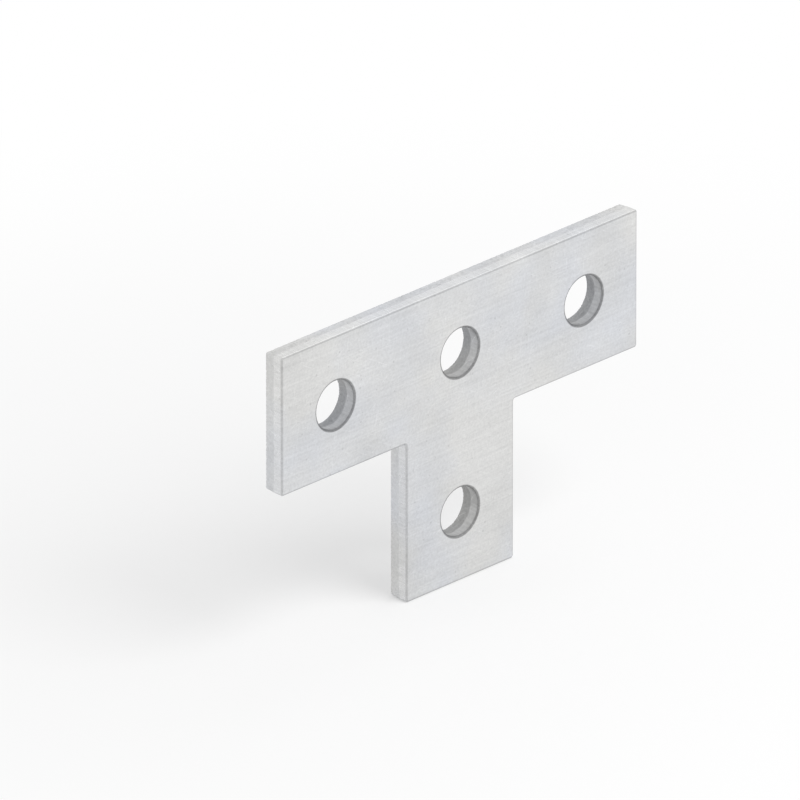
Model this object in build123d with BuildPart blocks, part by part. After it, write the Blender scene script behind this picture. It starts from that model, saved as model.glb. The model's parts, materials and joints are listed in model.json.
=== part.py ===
from build123d import *
from math import atan2, degrees
import os

# Tee plate: a flat steel bracket that is bolted over the joint where one member of a frame
# meets another at right angles. Sizes are in millimetres.
#
# It is one piece of hot-rolled strip, blanked and pierced in one stroke of the press and then
# zinc plated. The bar carries three bolt holes in a row and the stem carries the fourth.
#
# Frame: +X runs along the bar, +Z points up the plate and +Y points through it, from the front
# face, where the bolt heads sit, to the back face, which seats on the work at Y = 0. The origin
# is where the axis of the bar's middle hole meets the back face.

# Driving dimensions
plate_thickness = 6.35  # 1/4 in
bar_width = 41.275  # 1 5/8 in, with the row of holes along its middle
stem_width = 41.275  # 1 5/8 in, with the lowest hole on its middle
hole_diameter = 14.2875  # 9/16 in, clears a 1/2 in bolt
bar_hole_pitch = 47.625  # 1 7/8 in, from the middle hole to each outer one
stem_hole_drop = 47.625  # 1 7/8 in, from the bar's row down to the stem's hole
end_distance = 20.6375  # 13/16 in, from an outer or lowest hole to the end beyond it
corner_radius = 0.8  # every corner of the blank, as sharp as the die keeps
burr_break = 0.15  # the burr on the back edges is tumbled off to this

# The sheared edge that a punch and die leave in mild steel, in shares of the thickness
roll_share = 0.08  # the front face is drawn down this deep round every cut
shear_share = 0.45  # depth cut smooth and square, roll included, before the steel cracks
clearance_share = 0.045  # gap between punch and die, which the crack runs across

# Sizes that follow
bar_length = 2 * (bar_hole_pitch + end_distance)
bar_top = bar_width / 2
stem_foot = -(stem_hole_drop + end_distance)
stem_height = bar_top - stem_foot
die_roll = roll_share * plate_thickness
shear_depth = shear_share * plate_thickness
break_depth = plate_thickness - shear_depth
break_angle = degrees(atan2(clearance_share * plate_thickness, break_depth))
bolt_holes = [(-bar_hole_pitch, 0), (0, 0), (bar_hole_pitch, 0), (0, -stem_hole_drop)]

with BuildPart() as t_plate:
    # The blank at its full size, in the plane where the shearing stops and the crack starts
    with BuildSketch(Plane.XZ.offset(break_depth)) as blank:
        Rectangle(bar_length, bar_width)
        with Locations((0, bar_top)):
            Rectangle(stem_width, stem_height, align=(Align.CENTER, Align.MAX))
        fillet(blank.vertices(), radius=corner_radius)
        with Locations(*bolt_holes):
            Circle(hole_diameter / 2, mode=Mode.SUBTRACT)

    # Sheared land, square to the face: this is the size that the plate and its holes are held to
    extrude(amount=shear_depth)

    # Break-out: behind the land the outline draws in and the holes open out, by the die clearance
    extrude(blank.sketch, amount=burr_break - break_depth, taper=break_angle)

    # Tumbled edge, round the outline and the exit of each hole on the back face
    extrude(t_plate.faces().sort_by(Axis.Y).last, amount=burr_break, taper=45)

    # Die roll, round the outline and the mouth of each hole on the front face
    front_edges = t_plate.faces().sort_by(Axis.Y).first.edges()
    fillet(front_edges, radius=die_roll)

t_plate.part.label = "t_plate"
os.makedirs("parts", exist_ok=True)
export_step(t_plate.part, "parts/t_plate.step")
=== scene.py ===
import json
import bmesh
import bpy
import numpy as np
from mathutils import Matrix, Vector


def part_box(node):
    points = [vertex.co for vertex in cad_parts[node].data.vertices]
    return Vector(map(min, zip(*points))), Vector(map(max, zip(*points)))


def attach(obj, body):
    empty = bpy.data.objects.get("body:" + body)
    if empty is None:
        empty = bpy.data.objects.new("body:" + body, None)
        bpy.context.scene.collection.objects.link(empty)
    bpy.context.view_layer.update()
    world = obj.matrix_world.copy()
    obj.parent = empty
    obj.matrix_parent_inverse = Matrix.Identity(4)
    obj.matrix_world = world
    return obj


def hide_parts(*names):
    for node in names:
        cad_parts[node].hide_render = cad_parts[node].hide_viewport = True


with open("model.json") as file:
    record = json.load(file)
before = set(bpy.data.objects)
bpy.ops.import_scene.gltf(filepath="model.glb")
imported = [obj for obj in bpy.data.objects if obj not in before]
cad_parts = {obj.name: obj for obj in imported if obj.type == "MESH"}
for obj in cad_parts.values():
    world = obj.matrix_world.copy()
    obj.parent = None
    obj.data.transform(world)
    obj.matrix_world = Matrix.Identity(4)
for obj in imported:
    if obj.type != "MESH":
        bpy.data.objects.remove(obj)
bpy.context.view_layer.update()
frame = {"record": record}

# The plate. One piece of 1/4 in hot-rolled strip steel, blanked to a tee and pierced with four
# round holes in one stroke of the press, then tumbled and zinc plated. Each cut edge shows how it
# sheared: rolled over at the front face, cut bright and square, then torn through to the back.
mm = 0.001
low, high = (np.array(corner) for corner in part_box("t_plate"))
front, back = low[1], high[1]
thickness = back - front
end, top, foot = high[0], high[2], low[2]
bar_half_width = top  # the frame's origin is on the centre line of the bar
stem_half_width = bar_half_width  # bar and stem are sheared to one width
corner_radius = 0.8 * mm
bolt_holes = [mount for mount in frame["record"]["mounts"] if mount["kind"] == "bore"]

roll_depth = 0.08 * thickness  # the face is drawn down this far before the steel shears
roll_width = 0.11 * thickness  # and this far in from the cut
shear_depth = 0.45 * thickness  # cut bright as far down as this, where the crack starts
crack_waver = 0.08 * mm  # the line where the bright land ends wanders to either side by this
waver_length = 3 * mm  # in waves no shorter than this
score_depth = 0.018 * mm  # drag lines that the punch leaves down the bright land
score_spacing = 0.8 * mm  # and no closer together than this
die_clearance = 0.045 * thickness  # the torn part draws back by the gap between punch and die
tear_depth = 0.07 * mm  # relief of the torn part
tear_width, tear_height = 0.9 * mm, 1.3 * mm  # its smallest ridges, along the edge and down it
tumbled_edge = 0.15 * mm  # the burr on the back is worn to this radius
outline_rim, hole_rim = 0.04 * mm, 0.5 * mm  # flat strips past the roll, to keep its shading its own

point_spacing = 0.25 * mm
corner_points = 7  # on each quarter turn
roll_rows, land_rows, torn_rows, tumbled_rows = 9, 6, 12, 4
blend = np.pi / 8  # a rounded edge takes on its own look over this much of its turn


def around_tee(corners, radius, spacing):
    """Points (x, z) round a right-angled outline, anticlockwise from the front, each with its
    outward normal. Every corner is a quarter circle, centre + radius * (outward cos t + forward
    sin t), with the centre inside the plate at an outside corner and outside it at a notch, and
    evenly spaced points along a straight run join the end of each arc to the start of the next."""
    corners = np.array(corners)
    run = np.roll(corners, -1, axis=0) - corners
    leaving = run / np.linalg.norm(run, axis=1, keepdims=True)
    arriving = np.roll(leaving, 1, axis=0)
    outward = np.stack([arriving[:, 1], -arriving[:, 0]], axis=1)
    turn = arriving[:, 0] * leaving[:, 1] - arriving[:, 1] * leaving[:, 0]
    centre = corners - radius * (arriving + turn[:, None] * outward)
    t = np.linspace(0, np.pi / 2, corner_points)[:, None]
    points, normals = [], []
    for i in range(len(corners)):
        normal = outward[i] * np.cos(t) + turn[i] * arriving[i] * np.sin(t)
        arc = centre[i] + radius * turn[i] * normal
        straight = np.linalg.norm(run[i]) - 2 * radius
        step = np.linspace(0, straight, int(straight / spacing) + 1)[1:-1, None]
        points += [arc, arc[-1] + leaving[i] * step]
        normals += [normal, np.repeat(normal[-1:], len(step), axis=0)]
    return np.concatenate(points), np.concatenate(normals)


def around_hole(centre, radius, spacing):
    """Points (x, z) round a hole, clockwise from the front: centre + radius * (cos t, -sin t). The
    normal at each points to the axis, out of the steel."""
    count = int(2 * np.pi * radius / spacing)
    t = np.arange(count) * 2 * np.pi / count
    away = np.stack([np.cos(t), -np.sin(t)], axis=1)
    return np.array(centre) + radius * away, -away


def waves(rng, s, down, shortest, slant, count):
    """A smooth random height of about unit size, at distance s round a closed path and at a depth
    down its edge: the sum of cosine waves, times the square root of 2 / count. Each wave fits the
    path a whole number of times, is one to six times shortest long, and leans by up to slant turns
    for each unit of depth."""
    around = s[-1] + (s[-1] - s[-2])
    longest = 6 * shortest
    turns = rng.integers(around / longest, around / shortest, count)
    lean = rng.uniform(-slant, slant, count)
    phase = rng.uniform(0, 2 * np.pi, count)
    angle = 2 * np.pi * (turns * s[:, None, None] / around + lean * down[:, :, None]) + phase
    return np.cos(angle).sum(axis=2) * np.sqrt(2 / count)


def sheared_edge(points, normals, rim, rng):
    """The section of a sheared edge carried round a closed path, in rows from the front face to
    the back. Each vertex is at point - inset * normal in x and z, and at front + down in y. Returns
    the vertices, path point by path point, and how far each lies in each of three zones: the
    rounded edges, the land and the torn part."""
    s = np.append(0, np.cumsum(np.linalg.norm(np.diff(points, axis=0), axis=1)))
    flat = np.zeros((len(s), 1))
    margin = roll_width + rim + flat
    crack = shear_depth + crack_waver * waves(rng, s, flat, waver_length, slant=0, count=12)

    # The die roll is a quarter ellipse. Past its middle it passes from the rounded zone to the land.
    t = np.linspace(0, np.pi / 2, roll_rows)
    roll_inset = roll_width * (1 - np.sin(t)) + flat
    roll_down = roll_depth * (1 - np.cos(t)) + flat
    rolled = np.minimum(1, np.minimum(t, np.pi / 2 - t) / blend)
    shorn = np.where(t > np.pi / 4, 1 - rolled, 0)

    # The land is straight. Its drag lines are the upper halves of the waves, and deepen over its
    # first third.
    t = np.linspace(0, 1, land_rows + 1)[1:]
    land_down = roll_depth + (crack - roll_depth) * t
    score = waves(rng, s, flat, score_spacing, slant=0, count=40)
    land_inset = score_depth * np.clip(score, 0, 2) * np.minimum(1, 3 * t)

    # The torn part is an even slope with ridges, which are the waves without their sign, and rise
    # over its first quarter.
    t = np.linspace(0, 1, torn_rows + 1)[1:]
    torn_down = crack + (thickness - tumbled_edge - crack) * t
    tear = waves(rng, s, torn_down, tear_width, slant=1 / tear_height, count=60)
    torn_inset = die_clearance * t + tear_depth * np.abs(tear) * np.minimum(1, 4 * t)

    # The tumbled edge is a quarter circle, which takes the last of the slope round to the back face.
    t = np.linspace(0, np.pi / 2, tumbled_rows + 1)[1:]
    back_inset = torn_inset[:, -1:] + tumbled_edge * (1 - np.cos(t))
    back_down = thickness - tumbled_edge * (1 - np.sin(t)) + flat
    worn = np.minimum(1, (np.pi / 2 - t) / blend)

    inset = np.hstack([margin, roll_inset, land_inset, torn_inset, back_inset, margin])
    down = np.hstack([flat, roll_down, land_down, torn_down, back_down, flat + thickness])
    place = points[:, None, :] - inset[:, :, None] * normals[:, None, :]
    vertices = np.stack([place[:, :, 0], front + down, place[:, :, 1]], axis=2)

    rounded = np.concatenate([[0], rolled, np.zeros(land_rows + torn_rows), worn, [0]])
    land = np.concatenate([[0], shorn, np.ones(land_rows), np.zeros(torn_rows + tumbled_rows + 1)])
    torn = np.concatenate([np.zeros(1 + roll_rows + land_rows), np.ones(torn_rows),
                           np.zeros(tumbled_rows + 1)])
    return vertices, np.broadcast_to(np.stack([rounded, land, torn], axis=1), vertices.shape)


def closed_strip(vertices, first):
    """Quads between neighbouring rows of a strip that closes on itself. A vertex has the number
    first + path point * rows + row."""
    around, rows = vertices.shape[:2]
    i = np.arange(around)[:, None] * rows
    i_next = np.roll(i, -1, axis=0)
    j = np.arange(rows - 1)[None, :]
    return first + np.stack([i + j, i + j + 1, i_next + j + 1, i_next + j], axis=2).reshape(-1, 4)


tee_corners = [(-stem_half_width, foot), (stem_half_width, foot),
               (stem_half_width, -bar_half_width), (end, -bar_half_width), (end, top),
               (-end, top), (-end, -bar_half_width), (-stem_half_width, -bar_half_width)]
rng = np.random.default_rng(7)  # a fixed seed, so that the edges tear alike in each run
strips = [sheared_edge(*around_tee(tee_corners, corner_radius, point_spacing), outline_rim, rng)]
for hole in bolt_holes:
    centre = (hole["pos_m"][0], hole["pos_m"][2])
    ring = around_hole(centre, hole["dims"]["r_mm"] * mm, point_spacing)
    strips.append(sheared_edge(*ring, hole_rim, rng))

counts = [grid[:, :, 0].size for grid, zones in strips]
firsts = np.cumsum([0] + counts[:-1])
faces = [closed_strip(grid, first) for (grid, zones), first in zip(strips, firsts)]
vertices = np.concatenate([grid.reshape(-1, 3) for grid, zones in strips])
zones = np.concatenate([zones.reshape(-1, 3) for grid, zones in strips])
past_outline = np.arange(len(zones)) >= firsts[1]
in_hole = zones.sum(axis=1) * past_outline  # 1 on the walls of the holes, and 0 elsewhere
mesh = bpy.data.meshes.new("t_plate_steel")
mesh.from_pydata(vertices, [], np.concatenate(faces))
mesh.attributes.new("cut_zone", "FLOAT_VECTOR", "POINT").data.foreach_set("vector", zones.ravel())
mesh.attributes.new("inside_hole", "FLOAT", "POINT").data.foreach_set("value", in_hole)

# The flat faces fill the space between the outline's rim and the holes' rims.
solid = bmesh.new()
solid.from_mesh(mesh)
rims = [edge for edge in solid.edges if edge.is_boundary]
for side, normal in ((front, (0, -1, 0)), (back, (0, 1, 0))):
    rim = [edge for edge in rims if abs(edge.verts[0].co.y - side) < thickness / 2]
    bmesh.ops.triangle_fill(solid, edges=rim, use_beauty=True, normal=normal)
bmesh.ops.recalc_face_normals(solid, faces=solid.faces)
solid.to_mesh(mesh)
solid.free()
mesh.shade_smooth()
plate = bpy.data.objects.new("t_plate_steel", mesh)
bpy.context.scene.collection.objects.link(plate)


def linear(code):
    """The linear red, green, blue and alpha of an sRGB hex colour: each value up to 0.04045 is
    divided by 12.92, and each higher one is ((value + 0.055) / 1.055) to the power 2.4."""
    value = np.array([int(code[i:i + 2], 16) for i in (0, 2, 4)]) / 255
    return (*np.where(value <= 0.04045, value / 12.92, ((value + 0.055) / 1.055) ** 2.4), 1)


def add_node(tree, kind, settings=(), links=()):
    """Adds one node and returns its outputs. settings are properties by name and input values, and
    links join outputs of other nodes to inputs. An input goes by its name, or by its number where
    its name isn't its own."""
    node = tree.nodes.new(kind)
    for key, value in dict(settings).items():
        if isinstance(key, str) and hasattr(node, key):
            setattr(node, key, value)
        else:
            node.inputs[key].default_value = value
    for key, source in dict(links).items():
        tree.links.new(source, node.inputs[key])
    return node.outputs


def add_shares(tree, total, shares):
    """The total plus each pattern times its share, as a chain of nodes."""
    for pattern, share in shares:
        total = add_node(tree, "ShaderNodeMath", {"operation": "MULTIPLY_ADD", 1: share},
                         {0: pattern, 2: total})[0]
    return total


# Electroplated zinc with a clear passivate, over pickled hot-rolled steel. The coat is thin, so the
# mill's grain and pits show through its cool satin grey, which clouds faintly blue and warm, and
# the plating barrel has left light scuffs.
blue_zinc, warm_zinc = linear("D5D7DB"), linear("D9D9D8")
cloud_size, hue_size = 18 * mm, 26 * mm
grain_length, grain_width = 20 * mm, 0.7 * mm  # the mill's grain, along the strip and the bar
line_length, line_width = 12 * mm, 0.6 * mm  # the drag lines, through the plate
pickled_size = 0.7 * mm  # a grain of 0.1 mm or less, drawn as coarse as it needs to show
pit_spacing = 2.4 * mm
largest_pit, pit_wall = 0.20, 0.06  # a pit's radius and its sloping wall, as shares of the spacing
scuff_length, scuff_width = 7 * mm, 0.22 * mm
relief_height = 0.02 * mm

zinc = bpy.data.materials.new("electroplated_zinc")
zinc.use_nodes = True
tree = zinc.node_tree
tree.nodes.clear()
place = add_node(tree, "ShaderNodeTexCoord")["Object"]

# The punch burnished the land and drew its drag lines down it, and the torn part is rough. The
# rounded edges are painted darker, as painted shade that outlines the faces, and the walls of the
# holes darker still, as painted shade in the holes, where the zinc is also dull.
zone = add_node(tree, "ShaderNodeAttribute", {"attribute_name": "cut_zone"})["Vector"]
rounded, land, torn = add_node(tree, "ShaderNodeSeparateXYZ", {}, {0: zone})
inside = add_node(tree, "ShaderNodeAttribute", {"attribute_name": "inside_hole"})["Fac"]

# Each pattern is turned, so that no face lies along the cells of its noise, which would show as
# rows. It is stretched before it is turned, so that the grain and the lines still run true.
grain_scale = (1 / grain_length, 1 / grain_width, 1 / grain_width)
line_scale = (1 / line_width, 1 / line_length, 1 / line_width)
askew = add_node(tree, "ShaderNodeMapping", {"Rotation": (0.5, 0.3, 0.7)}, {"Vector": place})[0]
along_bar = add_node(tree, "ShaderNodeMapping", {"Scale": grain_scale, "Rotation": (0.6, 0, 0)},
                     {"Vector": place})[0]
through = add_node(tree, "ShaderNodeMapping", {"Scale": line_scale, "Rotation": (0, 0.6, 0)},
                   {"Vector": place})[0]
clouds = add_node(tree, "ShaderNodeTexNoise", {"Scale": 1 / cloud_size, "Detail": 3.0},
                  {"Vector": askew})[0]
mill_grain = add_node(tree, "ShaderNodeTexNoise", {"Scale": 1.0, "Detail": 4.0, "Roughness": 0.6},
                      {"Vector": along_bar})[0]
drag_lines = add_node(tree, "ShaderNodeTexNoise", {"Scale": 1.0, "Detail": 2.0}, {"Vector": through})[0]
pickled = add_node(tree, "ShaderNodeTexNoise", {"Scale": 1 / pickled_size, "Detail": 3.0},
                   {"Vector": askew})[0]
grain = add_node(tree, "ShaderNodeMix", {"data_type": "FLOAT"}, {0: land, 2: pickled, 3: drag_lines})[0]

# One pit to a cell, each of its own size, and the smaller the fainter.
pit_cells = add_node(tree, "ShaderNodeTexVoronoi", {"Scale": 1 / pit_spacing}, {"Vector": askew})
pit_size = add_node(tree, "ShaderNodeMath", {"operation": "MULTIPLY", 1: largest_pit},
                    {0: pit_cells["Color"]})[0]
pit_depth = add_node(tree, "ShaderNodeMath", {"operation": "SUBTRACT"},
                     {0: pit_size, 1: pit_cells["Distance"]})[0]
pits = add_node(tree, "ShaderNodeMapRange", {"From Max": pit_wall}, {"Value": pit_depth})[0]

# Each set of scuffs is short and thin and lies one way, turned about the line through the plate.
scuff_scale = (scuff_length, scuff_length, scuff_width)
scuffs = []
for turned in (0.5, 1.7, 2.6):
    laid = add_node(tree, "ShaderNodeMapping",
                    {"vector_type": "TEXTURE", "Rotation": (0.4, turned, 0), "Scale": scuff_scale},
                    {"Vector": place})[0]
    streaks = add_node(tree, "ShaderNodeTexNoise", {"Scale": 1.0, "Detail": 1.0}, {"Vector": laid})[0]
    scuffs.append(add_node(tree, "ShaderNodeMapRange", {"From Min": 0.68, "From Max": 0.76},
                           {"Value": streaks})[0])
scuffed = scuffs[0]
for scuff in scuffs[1:]:
    scuffed = add_node(tree, "ShaderNodeMath", {"operation": "MAXIMUM"}, {0: scuffed, 1: scuff})[0]

# How light the metal is: 1 on the average, as the clouds, the mill's grain and the fine grain each
# average a half. The shares of the rounded edges and of the holes' walls are painted shade.
shade = add_node(tree, "ShaderNodeMath", {"operation": "MULTIPLY_ADD", 1: 0.24, 2: 0.60}, {0: clouds})[0]
shade = add_shares(tree, shade, ((mill_grain, 0.26), (grain, 0.30), (pits, -0.14), (scuffed, 0.10),
                                 (rounded, -0.24), (land, 0.02), (torn, -0.05), (inside, -0.34)))
hue = add_node(tree, "ShaderNodeTexNoise", {"Scale": 1 / hue_size, "Detail": 2.0}, {"Vector": askew})[0]
tint = add_node(tree, "ShaderNodeMapRange", {"From Min": 0.35, "From Max": 0.65}, {"Value": hue})[0]
tone = add_node(tree, "ShaderNodeMix", {"data_type": "RGBA", 6: blue_zinc, 7: warm_zinc}, {0: tint})[2]
colour = add_node(tree, "ShaderNodeVectorMath", {"operation": "SCALE"}, {0: tone, "Scale": shade})[0]

rough = add_node(tree, "ShaderNodeMapRange", {"To Min": 0.28, "To Max": 0.46}, {"Value": grain})[0]
rough = add_shares(tree, rough, ((land, -0.12), (torn, 0.16), (inside, 0.12), (scuffed, -0.08)))

# The grain stands three times as high on the torn part.
coarser = add_node(tree, "ShaderNodeMath", {"operation": "MULTIPLY_ADD", 1: 2.0, 2: 1.0}, {0: torn})[0]
height = add_node(tree, "ShaderNodeMath", {"operation": "MULTIPLY"}, {0: grain, 1: coarser})[0]
height = add_shares(tree, height, ((mill_grain, 0.6), (pits, -0.5)))
relief = add_node(tree, "ShaderNodeBump", {"Distance": relief_height, "Strength": 1.0},
                  {"Height": height})[0]
metal = add_node(tree, "ShaderNodeBsdfPrincipled", {"Metallic": 1.0},
                 {"Base Color": colour, "Roughness": rough, "Normal": relief})[0]
add_node(tree, "ShaderNodeOutputMaterial", {}, {"Surface": metal})
mesh.materials.append(zinc)

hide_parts("t_plate")
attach(plate, "root")

# The floor that the plate stands on. A matt white board: near the plate it shows the light and the
# soft shadow that fall on it, and further off it fades into the white background.
floor_half = 2.0
fade_start, fade_end = 0.10, 0.32  # distances from the frame's origin
least_white = 0.38  # share of plain white in what shows of the board before the fade starts
board_white, plain_white = linear("F0F0F0"), linear("FFFFFF")


def add_seen(tree):
    """1 on the rays that show a surface to the camera, straight or by way of metal or glass, and 0
    on those that only gather its light: the largest of Light Path's outputs for the three."""
    ray = add_node(tree, "ShaderNodeLightPath")
    seen = add_node(tree, "ShaderNodeMath", {"operation": "MAXIMUM"},
                    {0: ray["Is Camera Ray"], 1: ray["Is Glossy Ray"]})[0]
    return add_node(tree, "ShaderNodeMath", {"operation": "MAXIMUM"},
                    {0: seen, 1: ray["Is Transmission Ray"]})[0]


floor_corners = [(-floor_half, -floor_half, foot), (floor_half, -floor_half, foot),
                 (floor_half, floor_half, foot), (-floor_half, floor_half, foot)]
floor_mesh = bpy.data.meshes.new("floor")
floor_mesh.from_pydata(floor_corners, [], [(0, 1, 2, 3)])
floor = bpy.data.objects.new("floor", floor_mesh)
bpy.context.scene.collection.objects.link(floor)
board = bpy.data.materials.new("matt_white_board")
board.use_nodes = True
board.cycles.emission_sampling = "NONE"  # it isn't a lamp
tree = board.node_tree
tree.nodes.clear()
place = add_node(tree, "ShaderNodeTexCoord")["Object"]
away = add_node(tree, "ShaderNodeVectorMath", {"operation": "LENGTH"}, {0: place})["Value"]
faded = add_node(tree, "ShaderNodeMapRange",
                 {"interpolation_type": "SMOOTHSTEP", "From Min": fade_start, "From Max": fade_end,
                  "To Min": least_white}, {"Value": away})[0]
share = add_node(tree, "ShaderNodeMath", {"operation": "MULTIPLY"}, {0: add_seen(tree), 1: faded})[0]
matt = add_node(tree, "ShaderNodeBsdfDiffuse", {"Color": board_white})[0]
white = add_node(tree, "ShaderNodeEmission", {"Color": plain_white, "Strength": 1.0})[0]
both = add_node(tree, "ShaderNodeMixShader", {}, {0: share, 1: matt, 2: white})[0]
add_node(tree, "ShaderNodeOutputMaterial", {}, {"Surface": both})
floor_mesh.materials.append(board)

# The light of a plain studio: a white surround that lights matt things less than it shows, and two
# wide soft lamps. The stronger one, high up in front of the plate, casts the shadow, and the metal
# shows the surround in its place, so that no face glares. The other picks out the rounded edges.
world = bpy.data.worlds.new("white_studio")
bpy.context.scene.world = world
world.use_nodes = True
world.cycles.sampling_method = "NONE"  # so that each kind of ray finds the strength meant for it
tree = world.node_tree
tree.nodes.clear()
strength = add_node(tree, "ShaderNodeMapRange", {"To Min": 0.6}, {"Value": add_seen(tree)})[0]
surround = add_node(tree, "ShaderNodeBackground", {"Color": plain_white}, {"Strength": strength})[0]
add_node(tree, "ShaderNodeOutputWorld", {}, {"Surface": surround})

for name, direction, distance, size, power, mirrored in (
    ("key_lamp", (0.20, -0.60, 0.77), 1.3, 1.0, 10.0, False),
    ("edge_lamp", (0.55, -0.05, 0.83), 1.3, 1.1, 2.5, True),
):
    lamp = bpy.data.lights.new(name, "AREA")
    lamp.shape, lamp.size, lamp.energy = "DISK", size, power
    holder = bpy.data.objects.new(name, lamp)
    toward = Vector(direction).normalized()
    holder.location = toward * distance
    holder.rotation_euler = toward.to_track_quat("Z", "Y").to_euler()
    holder.visible_camera, holder.visible_glossy = False, mirrored
    bpy.context.scene.collection.objects.link(holder)

# The camera stands where the drawing is seen from: 45 degrees to the left of the plate's front and
# 25 degrees above it. The drawing has no perspective, so the lens is a very long one.
azimuth, elevation = np.radians(-45), np.radians(25)
picture_side = 800
centre_pixel = (picture_side - 1) / 2
origin_pixel = (443.22, 345.22)  # where the middle hole's axis meets the back face
scale = 3.6875 / mm  # pixels to a metre along the picture plane
toward_camera = np.array([np.sin(azimuth) * np.cos(elevation),
                          -np.cos(azimuth) * np.cos(elevation),
                          np.sin(elevation)])
right = np.array([np.cos(azimuth), np.sin(azimuth), 0])
up = np.cross(toward_camera, right)
target = right * (centre_pixel - origin_pixel[0]) / scale + up * (origin_pixel[1] - centre_pixel) / scale
lens = bpy.data.cameras.new("camera")
lens.sensor_width = 36
lens.lens = 1500
distance = picture_side / scale * lens.lens / lens.sensor_width
lens.clip_start, lens.clip_end = 0.1, 2 * distance
camera = bpy.data.objects.new("camera", lens)
camera.location = target + toward_camera * distance
camera.rotation_euler = Vector(toward_camera).to_track_quat("Z", "Y").to_euler()
bpy.context.scene.collection.objects.link(camera)
bpy.context.scene.camera = camera
bpy.context.scene.view_settings.view_transform = "Standard"
